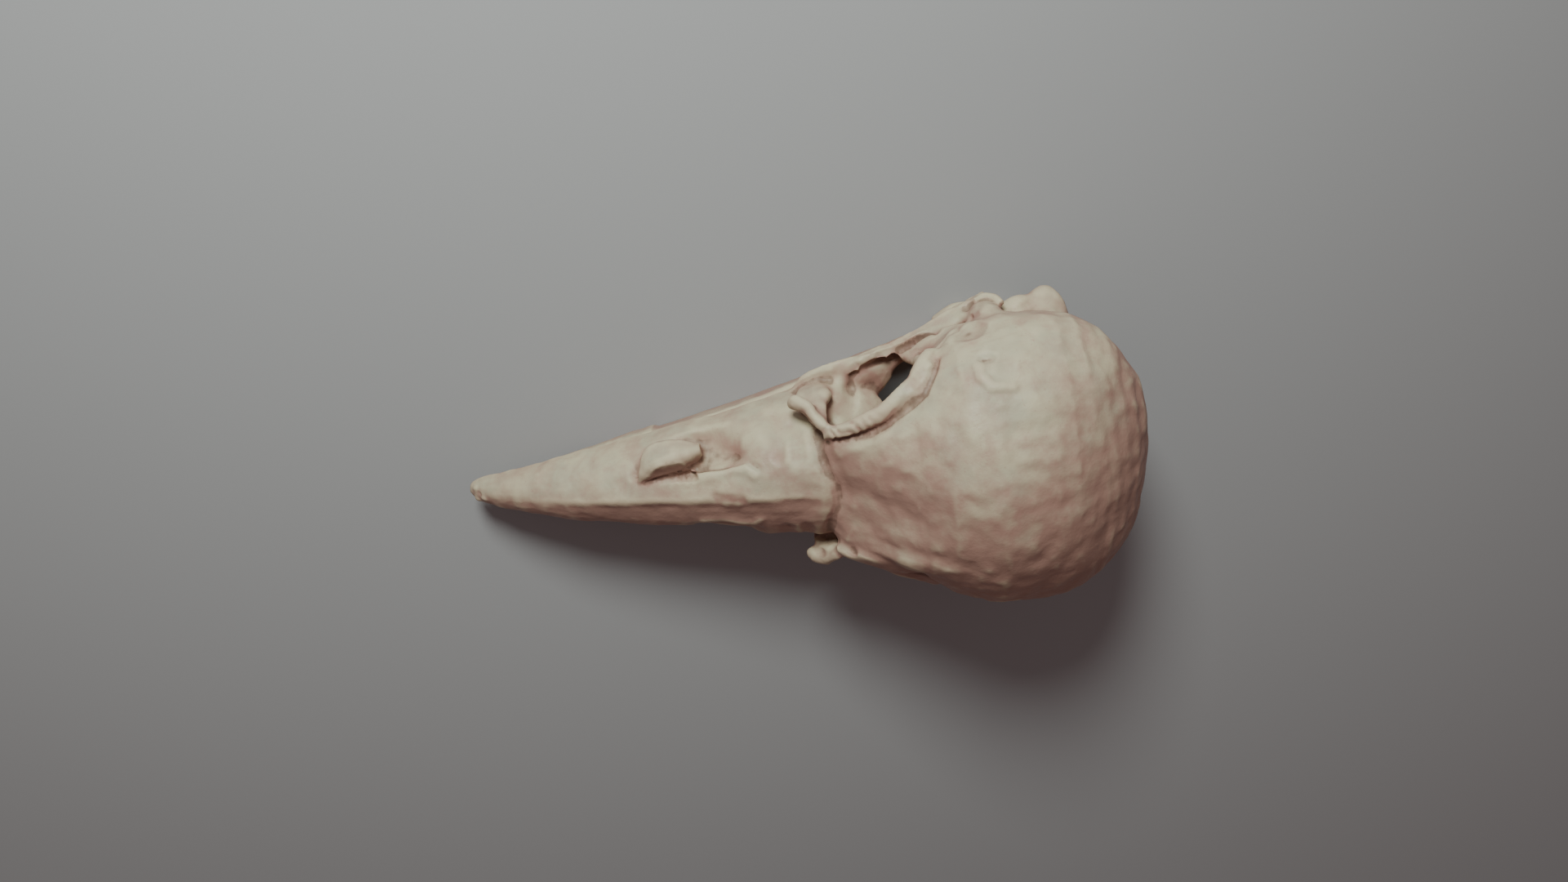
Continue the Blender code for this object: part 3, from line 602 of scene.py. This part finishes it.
def stroke(item, strokes):
    """Sink or raise the surface along each stroke, softly towards its edge."""
    for path, reach, depth, paired in strokes:
        points = read_points(item.data)
        skull = to_skull(points)
        if paired:
            skull[:, 1] = np.abs(skull[:, 1])
        low = np.min(path, axis=0) - reach
        high = np.max(path, axis=0) + reach
        near = np.flatnonzero(np.all((skull > low) & (skull < high), axis=1))
        share = np.clip(1 - (reach_to_path(skull[near], path) / reach) ** 2, 0, 1) ** 2
        points[near] += read_normals(item.data)[near] * (depth * MM * share)[:, None]
        write_points(item.data, points)


def roughen(item, layers, seed, weight=None):
    """Raise soft lumps on the surface: layers of (size in mm, height in mm)."""
    points = read_points(item.data)
    normals = read_normals(item.data)
    lift = np.zeros(len(points))
    for k, (size, height) in enumerate(layers):
        # Each layer reads its own part of the noise
        offset = Vector((seed + 11.3 * k, 3.7 * k, 5.1 * seed))
        lift += height * MM * np.array([
            noise.noise(Vector(point) + offset) for point in (points / (size * MM)).tolist()
        ])
    if weight is not None:
        lift *= weight
    write_points(item.data, points + normals * lift[:, None])


def add_relief(item):
    """Store how deep each point lies in a hollow, and how far it stands on a ridge, from 0 to 1, for the
    painted shade in hollows and the painted highlight on ridges.
    """
    mesh = item.data
    points = read_points(mesh)
    normals = read_normals(mesh)
    edges, counts = edge_array(mesh)
    soft = points.copy()
    total = np.zeros(len(points))
    done = 0
    for rounds, full in HOLLOW_SCALES:
        for _ in range(rounds - done):
            soft += HOLLOW_PULL * (neighbour_mean(soft, edges, counts) - soft)
        done = rounds
        total += np.einsum("ij,ij->i", soft - points, normals) / (full * MM)
    total /= len(HOLLOW_SCALES)
    for _ in range(2):
        total = 0.5 * total + 0.5 * neighbour_mean(total[:, None], edges, counts)[:, 0]
    for name, values in (("hollow", total), ("ridge", -total)):
        layer = mesh.attributes.new(name, "FLOAT", "POINT")
        layer.data.foreach_set("value", np.clip(values, 0, 1).astype(np.float32))


def add_painted_shade(item):
    """Store how far each point faces away from the key lamp, for the painted shade on that side."""
    mesh = item.data
    edges, counts = edge_array(mesh)
    painted_shade = 1 - read_normals(mesh) @ np.array(LAMP_SIDE)[:, None]
    for _ in range(PAINTED_SHADE_ROUNDS):
        painted_shade = neighbour_mean(painted_shade, edges, counts)
    layer = mesh.attributes.new("painted_shade", "FLOAT", "POINT")
    layer.data.foreach_set("value", painted_shade[:, 0].astype(np.float32))


def bone_skin(name, nodes, grain, growth, smoothing, extras=()):
    """Fine closed skin over some frame nodes and the extra forms that grow on them."""
    bm = bmesh.new()
    for node in nodes:
        add_frame_bone(bm, node, growth)
    for extra in extras:
        bm.from_mesh(extra.data)
        bpy.data.objects.remove(extra, do_unlink=True)
    item = add_object(name, bm)
    remesh(item, grain)
    if growth:
        grow(item, -growth)
    relax(item, smoothing)
    keep_largest(item)
    return item


def finish_skin(item, material, nodes):
    add_relief(item)
    add_painted_shade(item)
    thin_out(item)
    write_points(item.data, np.clip(read_points(item.data), *CAD_BOX))
    item.data.materials.clear()
    item.data.materials.append(material)
    item.data.shade_smooth()
    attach(item, "root")
    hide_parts(*nodes)


class NodeDesk:
    """Adds shader nodes to a material and links them."""

    # Colour sockets of a Mix node by number, because its other sockets have the same names
    MIX_FIRST = 6
    MIX_SECOND = 7
    MIX_RESULT = 2

    def __init__(self, material):
        self.tree = material.node_tree
        self.coordinates = self.tree.nodes.new("ShaderNodeTexCoord").outputs["Object"]

    def put(self, socket, value):
        if isinstance(value, bpy.types.NodeSocket):
            self.tree.links.new(value, socket)
        else:
            socket.default_value = value

    def noise(self, size, detail=3.0, roughness=0.5, distortion=0.0, squeeze=(1, 1, 1)):
        """Noise whose blotches are about this many millimetres across."""
        mapping = self.tree.nodes.new("ShaderNodeMapping")
        mapping.inputs["Scale"].default_value = squeeze
        self.put(mapping.inputs["Vector"], self.coordinates)
        node = self.tree.nodes.new("ShaderNodeTexNoise")
        self.put(node.inputs["Vector"], mapping.outputs["Vector"])
        node.inputs["Scale"].default_value = 1 / (size * MM)
        node.inputs["Detail"].default_value = detail
        node.inputs["Roughness"].default_value = roughness
        node.inputs["Distortion"].default_value = distortion
        return node.outputs["Fac"]

    def ramp(self, value, low, high, start=0.0, end=1.0):
        """Map low to high onto start to end, with soft ends."""
        node = self.tree.nodes.new("ShaderNodeMapRange")
        node.interpolation_type = "SMOOTHSTEP"
        for name, setting in (("Value", value), ("From Min", low), ("From Max", high),
                              ("To Min", start), ("To Max", end)):
            self.put(node.inputs[name], setting)
        return node.outputs["Result"]

    def math(self, operation, first, second):
        """Sum, product or the like of two values."""
        node = self.tree.nodes.new("ShaderNodeMath")
        node.operation = operation
        self.put(node.inputs[0], first)
        self.put(node.inputs[1], second)
        return node.outputs["Value"]

    def blend(self, share, first, second):
        """Colour between first and second."""
        node = self.tree.nodes.new("ShaderNodeMix")
        node.data_type = "RGBA"
        self.put(node.inputs["Factor"], share)
        self.put(node.inputs[self.MIX_FIRST], first)
        self.put(node.inputs[self.MIX_SECOND], second)
        return node.outputs[self.MIX_RESULT]

    def attribute(self, name):
        """A number that is stored on the surface."""
        node = self.tree.nodes.new("ShaderNodeAttribute")
        node.attribute_name = name
        return node.outputs["Fac"]

    def bump(self, height, strength, distance, normal=None):
        """Bumps of this distance in millimetres, on top of an earlier normal if one is given."""
        node = self.tree.nodes.new("ShaderNodeBump")
        node.inputs["Strength"].default_value = strength
        node.inputs["Distance"].default_value = distance * MM
        self.put(node.inputs["Height"], height)
        if normal is not None:
            self.put(node.inputs["Normal"], normal)
        return node.outputs["Normal"]


def bone_material(name, settings):
    """Dry bone: cream and grey patches, a pinkish stain, pores, painted shade on the side away from the
    lamp, painted dark shade in the hollows, and a painted highlight on the ridges.
    """
    material = bpy.data.materials.new(name)
    material.use_nodes = True
    desk = NodeDesk(material)
    shader = material.node_tree.nodes["Principled BSDF"]
    cream, grey, pink, dark = ((*colour, 1) for colour in (
        settings.cream, settings.grey, settings.pink_stain_and_shade, settings.hollow_shade
    ))
    pale = (*(min(1.0, settings.ridge_highlight * c) for c in settings.cream), 1)
    hollow = desk.attribute("hollow")
    uneven = desk.ramp(desk.noise(1.4, detail=3), 0.3, 0.65, 0.8, 1.1)
    hollow = desk.math("MULTIPLY", hollow, uneven)
    # Painted shade on the side that faces away from the lamp, with a ragged mottled edge
    mottling = desk.ramp(desk.noise(6.0, detail=4, roughness=0.6), 0.3, 0.7, -0.5, 0.5)
    painted_shade = desk.math("ADD", desk.attribute("painted_shade"), desk.math("MULTIPLY", mottling, settings.mottling))
    grime = desk.noise(1.6, detail=3, roughness=0.6, squeeze=(0.35, 1, 1))
    # Each layer's colour and how much of it shows: grey patches, pinkish blotches, painted shade on the
    # side away from the lamp, grime, pores, a painted highlight on the ridges, and painted shade in the
    # hollows, darkest at their bottom
    layers = (
        (grey, desk.ramp(desk.noise(7.0, detail=3, roughness=0.55), 0.38, 0.66)),
        (pink, desk.ramp(desk.noise(4.2, detail=4, roughness=0.6, distortion=0.4), 0.46, 0.72, end=0.5)),
        # Painted shade on the side away from the lamp
        (pink, desk.ramp(painted_shade, -0.07, 0.59, end=0.97)),
        (pink, desk.ramp(grime, 0.5, 0.75, end=0.22)),
        (pink, desk.ramp(desk.noise(0.55, detail=2, roughness=0.5), 0.64, 0.74, end=0.35)),
        # Painted highlight on the ridges
        (pale, desk.ramp(desk.attribute("ridge"), 0.15, 0.9, end=0.5)),
        # Painted shade in the hollows: pinkish brown, then dark brown at their bottom
        (pink, desk.ramp(hollow, 0.10, 1.0, end=0.40)),
        (dark, desk.ramp(hollow, 0.58, 1.15, end=0.6)),
    )
    colour = cream
    for layer, share in layers:
        colour = desk.blend(share, colour, layer)
    desk.put(shader.inputs["Base Color"], colour)
    desk.put(shader.inputs["Roughness"], desk.ramp(desk.noise(2.4, detail=3), 0.3, 0.7, 0.46, 0.68))
    shader.inputs["Specular IOR Level"].default_value = 0.4
    grain = desk.bump(desk.noise(0.9, detail=4, roughness=0.6), strength=0.5, distance=0.12)
    fine_grain = desk.noise(0.28, detail=3, roughness=0.6)
    fine = desk.bump(fine_grain, strength=0.30, distance=0.04, normal=grain)
    desk.put(shader.inputs["Normal"], fine)
    return material


class RAVEN_OT_fused_skull(bpy.types.Operator):
    """Make the upper bill, forehead, eye wall and braincase as one fused bone"""

    bl_idname = "raven.fused_skull"
    bl_label = "Fused Skull"
    bl_options = {"REGISTER", "UNDO"}

    def execute(self, context):
        bone = context.scene.raven_bone
        item = bone_skin(
            "skull_bone", FUSED_NODES, bone.skull_grain, bone.gap_closing, bone.smoothing, self.growths()
        )
        stroke(item, SKULL_STROKES)
        self.reshape(item)
        relax(item, 2)
        self.soften(item)
        x = to_skull(read_points(item.data))[:, 0]
        share = np.interp(x, LUMPS_RISE, (FRONT_LUMP_SHARE, 1.0))
        roughen(item, SKULL_LUMPS, seed=3.0, weight=share)
        self.ripple(item)
        self.wrinkle(item)
        finish_skin(item, bone_material("skull bone", bone), FUSED_NODES)
        return {"FINISHED"}

    def growths(self):
        """Webs and plates around the socket, and the ragged inner edges of the cheek bars."""
        pieces = [rod("claw", CLAW, steps=20), rod("claw", CLAW_CREST, steps=20), rod("brow", LEFT_BROW)]
        draw = np.random.default_rng(7)
        path = np.array(CHEEK_EDGE)
        travel = path_travel(path)
        for side in (1, -1):
            for upright, stations in SOCKET_RODS:
                pieces.append(rod("web", stations, upright, mirror=side < 0))
            for reach in np.arange(TOOTH_START, travel[-1], TOOTH_PITCH):
                spot = np.array([np.interp(reach, travel, column) for column in path.T])
                x, y, z = spot + draw.uniform(*TOOTH_STRAY)
                size = draw.uniform(*TOOTH_SIZE)
                radii = (size, size * TOOTH_WIDTH_SHARE, TOOTH_HEIGHT)
                pieces.append(ball("tooth", (x, side * y, z), radii))
        return pieces

    def reshape(self, item):
        """Shape the forehead between the sockets, sharpen the bill's crest and slope the claw's face."""
        points = read_points(item.data)
        skull = to_skull(points)
        x, y, z = skull.T
        above_socket = soft_step(z, 15, 19)
        above_bill_edge = soft_step(z, 7, 11)
        left_shelf = LEFT_SHELF_HEIGHT * stretch(y, *LEFT_SHELF_STRETCH)
        forehead = left_shelf + bell(y, *LEFT_RIDGE) + bell(y, *FOREHEAD_HOLLOW)
        rise = stretch(x, *FOREHEAD_STRETCH) * above_socket * forehead
        start, middle = SHOULDER_START
        aside = y - middle - SHOULDER_SLANT * (x - start)
        shoulder = bell(aside, 0, SHOULDER_WIDTH, SHOULDER_HEIGHT)
        rise += stretch(x, *SHOULDER_STRETCH) * above_socket * shoulder
        fall = np.where(y < CREST_MIDDLE, CREST_FALL_LEFT, CREST_FALL_RIGHT)
        crest = np.exp(-np.hypot(y - CREST_MIDDLE, CREST_BLUNTNESS) / fall)
        rise += stretch(x, *BILL_STRETCH) * above_bill_edge * (CREST_HEIGHT * crest - CREST_SINK)
        facet = FACET_HEIGHT + FACET_SLOPE * (y - np.interp(x, FACET_ALONG, FACET_ACROSS))
        on_claw = np.all((skull[:, :2] > CLAW_LOW) & (skull[:, :2] < CLAW_HIGH), axis=1)
        rise = np.where(on_claw & (z > facet), facet - z, rise)
        points[:, 2] += rise * MM
        write_points(item.data, points)

    def soften(self, item):
        """Smooth the surface around each soft spot."""
        skull = to_skull(read_points(item.data))
        folded = skull.copy()
        folded[:, 1] = np.abs(skull[:, 1])
        mask = np.zeros(len(skull))
        for centre, reach, rounds in SOFT_SPOTS:
            away = np.linalg.norm(((skull if centre[1] < 0 else folded) - centre) / reach, axis=1)
            share = rounds / SOFTENING_ROUNDS
            # In full near the centre, and none at the end of the reach
            mask = np.maximum(mask, np.clip(1.4 - 1.4 * away, 0, 1) * share)
        relax(item, SOFTENING_ROUNDS, False, mask)

    def wrinkle(self, item):
        """Fine wrinkles across the crest of the socket's rim, highest at its front."""
        points = read_points(item.data)
        skull = to_skull(points)
        x, y, z = skull.T
        # They cross the rim at a slant, and wander a little
        along = (x + 0.9 * y - 0.6 * z) / WRINKLE_PITCH
        wander = 2.2 * np.sin(1.3 * x + np.sin(0.6 * x))
        waves = np.sin(2 * math.pi * along + wander)
        front = np.clip((72 - x) / 7, 0.2, 1)
        near = np.clip(1 - reach_to_path(skull, RIM_CREST) / WRINKLE_REACH, 0, 1)
        lift = WRINKLE_HEIGHT * MM * waves * front * near
        write_points(item.data, points + read_normals(item.data) * lift[:, None])

    def ripple(self, item):
        """Faint ridges around the back of the braincase, where the neck muscles held."""
        points = read_points(item.data)
        x, y, z = to_skull(points).T
        waves = np.sin(2 * math.pi * (x + 0.10 * np.abs(y)) / RIPPLE_PITCH)
        back = np.clip((x - 97) / 6, 0, 1)
        above_neck = np.clip((z - 8) / 6, 0, 1)
        lift = RIPPLE_HEIGHT * MM * waves * back * above_neck
        write_points(item.data, points + read_normals(item.data) * lift[:, None])


class RAVEN_OT_lower_jaw(bpy.types.Operator):
    """Make the lower jaw as one fused bone"""

    bl_idname = "raven.lower_jaw"
    bl_label = "Lower Jaw"
    bl_options = {"REGISTER", "UNDO"}

    def execute(self, context):
        bone = context.scene.raven_bone
        item = bone_skin("lower_jaw_bone", JAW_NODES, bone.jaw_grain, bone.gap_closing, JAW_SMOOTHING)
        roughen(item, JAW_LUMPS, seed=5.0)
        finish_skin(item, bone_material("jaw bone", bone), JAW_NODES)
        return {"FINISHED"}


class RAVEN_OT_small_bones(bpy.types.Operator):
    """Make the quadrates and pterygoids of both sides"""

    bl_idname = "raven.small_bones"
    bl_label = "Small Bones"
    bl_options = {"REGISTER", "UNDO"}

    def execute(self, context):
        bone = context.scene.raven_bone
        for kind in LOOSE_BONES:
            for side in ("right", "left"):
                node = f"{kind}_{side}"
                item = bone_skin(
                    f"{kind}_bone_{side}", (node,), bone.small_grain, 0.0, LOOSE_SMOOTHING
                )
                roughen(item, LOOSE_LUMPS, seed=9.0)
                finish_skin(item, bone_material("small bone", bone), (node,))
        return {"FINISHED"}


class RAVEN_OT_stage(bpy.types.Operator):
    """Set the camera, the floor and the soft lights"""

    bl_idname = "raven.stage"
    bl_label = "Stage"
    bl_options = {"REGISTER", "UNDO"}

    def execute(self, context):
        stage = context.scene.raven_stage
        self.camera(context, stage)
        self.floor(context, stage)
        self.lights(context, stage)
        return {"FINISHED"}

    def camera(self, context, stage):
        data = bpy.data.cameras.new("camera")
        data.sensor_width = 36.0
        data.lens = stage.lens
        data.clip_start = 0.005
        item = bpy.data.objects.new("camera", data)
        context.scene.collection.objects.link(item)
        item.location = Vector(CAMERA_PLACE) * MM
        item.rotation_euler = [math.radians(angle) for angle in CAMERA_TURN]
        context.scene.camera = item

    def floor(self, context, stage):
        bm = bmesh.new()
        bmesh.ops.create_grid(bm, x_segments=8, y_segments=8, size=FLOOR_HALF_WIDTH * MM)
        item = add_object("floor", bm)
        material = bpy.data.materials.new("pale floor")
        material.use_nodes = True
        shader = material.node_tree.nodes["Principled BSDF"]
        shader.inputs["Base Color"].default_value = (*stage.floor_colour, 1)
        shader.inputs["Roughness"].default_value = 0.85
        shader.inputs["Specular IOR Level"].default_value = 0.15
        item.data.materials.append(material)

    def lights(self, context, stage):
        place = Vector(LAMP_PLACE) * MM
        data = bpy.data.lights.new("key", "AREA")
        data.shape = "DISK"
        data.size = LAMP_WIDTH * MM
        data.energy = stage.key_power
        data.color = LAMP_COLOUR
        item = bpy.data.objects.new("key", data)
        context.scene.collection.objects.link(item)
        aim = Vector(LAMP_AIM) * MM - place
        item.matrix_world = Matrix.Translation(place) @ aim.to_track_quat("-Z", "Y").to_matrix().to_4x4()
        world = bpy.data.worlds.new("studio")
        world.use_nodes = True
        background = world.node_tree.nodes["Background"]
        background.inputs["Color"].default_value = (*ROOM_COLOUR, 1)
        background.inputs["Strength"].default_value = stage.room_light
        context.scene.world = world


class RAVEN_PT_sidebar(bpy.types.Panel):
    """Sidebar panel of the raven skull"""

    bl_idname = "RAVEN_PT_sidebar"
    bl_label = "Raven Skull"
    bl_space_type = "VIEW_3D"
    bl_region_type = "UI"
    bl_category = "Raven Skull"

    def draw(self, context):
        layout = self.layout
        bone = context.scene.raven_bone
        stage = context.scene.raven_stage
        column = layout.column(heading="Bone")
        for name in ("skull_grain", "jaw_grain", "small_grain", "gap_closing", "smoothing",
                     "cream", "grey", "pink_stain_and_shade", "hollow_shade", "mottling", "ridge_highlight"):
            column.prop(bone, name)
        for operator in BONE_OPERATORS:
            layout.operator(operator.bl_idname)
        column = layout.column(heading="Stage")
        for name in ("lens", "key_power", "room_light", "floor_colour"):
            column.prop(stage, name)
        layout.operator(RAVEN_OT_stage.bl_idname)


BONE_OPERATORS = (RAVEN_OT_fused_skull, RAVEN_OT_lower_jaw, RAVEN_OT_small_bones)
CLASSES = (
    RavenBoneSettings,
    RavenStageSettings,
    *BONE_OPERATORS,
    RAVEN_OT_stage,
    RAVEN_PT_sidebar,
)


def register():
    for item in CLASSES:
        bpy.utils.register_class(item)
    bpy.types.Scene.raven_bone = PointerProperty(type=RavenBoneSettings)
    bpy.types.Scene.raven_stage = PointerProperty(type=RavenStageSettings)


def unregister():
    del bpy.types.Scene.raven_stage
    del bpy.types.Scene.raven_bone
    for item in reversed(CLASSES):
        bpy.utils.unregister_class(item)


def main():
    register()
    bpy.ops.raven.stage()
    bpy.ops.raven.fused_skull()
    bpy.ops.raven.lower_jaw()
    bpy.ops.raven.small_bones()


if __name__ == "__main__":
    main()
